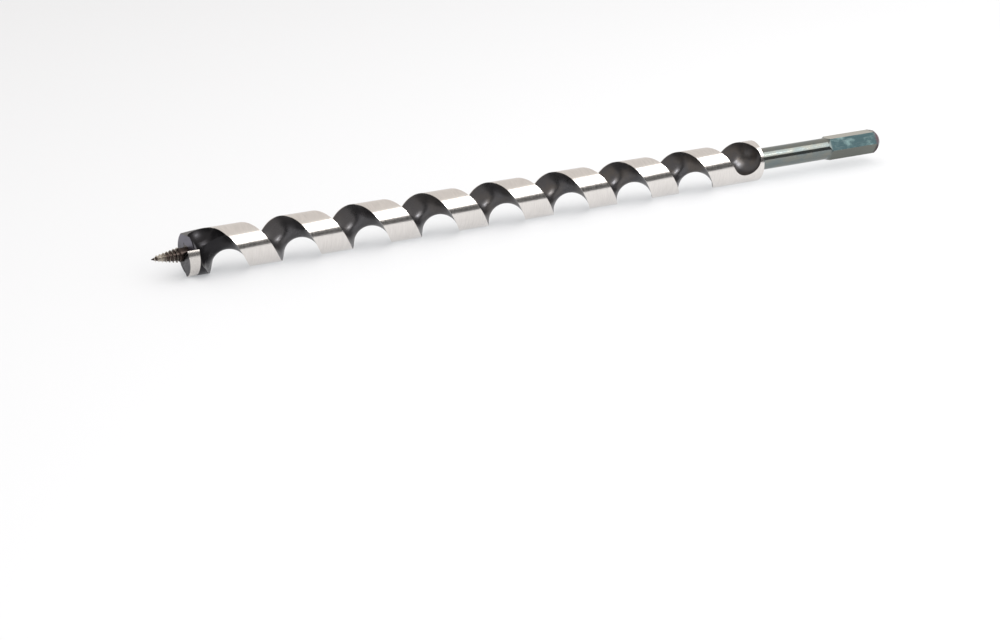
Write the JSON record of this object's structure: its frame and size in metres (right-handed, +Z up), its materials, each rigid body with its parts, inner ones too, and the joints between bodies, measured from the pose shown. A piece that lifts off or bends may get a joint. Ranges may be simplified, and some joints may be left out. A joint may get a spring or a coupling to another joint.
{
  "type": "ship auger bit",
  "caption": "Single-flute wood auger bit with a screw point, brazed side cutter and hexagonal drive shank.",
  "frame": {"origin": "on the surface the bit lies on, under the middle of its length", "axes": "+X along the bit from the screw point to the driven end, +Z up, +Y to the left when looking along +X"},
  "size_m": [0.4022, 0.0206, 0.0206],
  "materials": {
    "ground_steel": "satin",
    "cutter_steel": "satin",
    "dark_steel": "satin",
    "shank_steel": "satin"
  },
  "bodies": {
    "root": {"twist_body": "ground_steel", "cutter_tip": "cutter_steel", "lead_screw": "dark_steel", "screw_lock_pin": "dark_steel", "hex_shank": "shank_steel"}
  },
  "joints": []
}
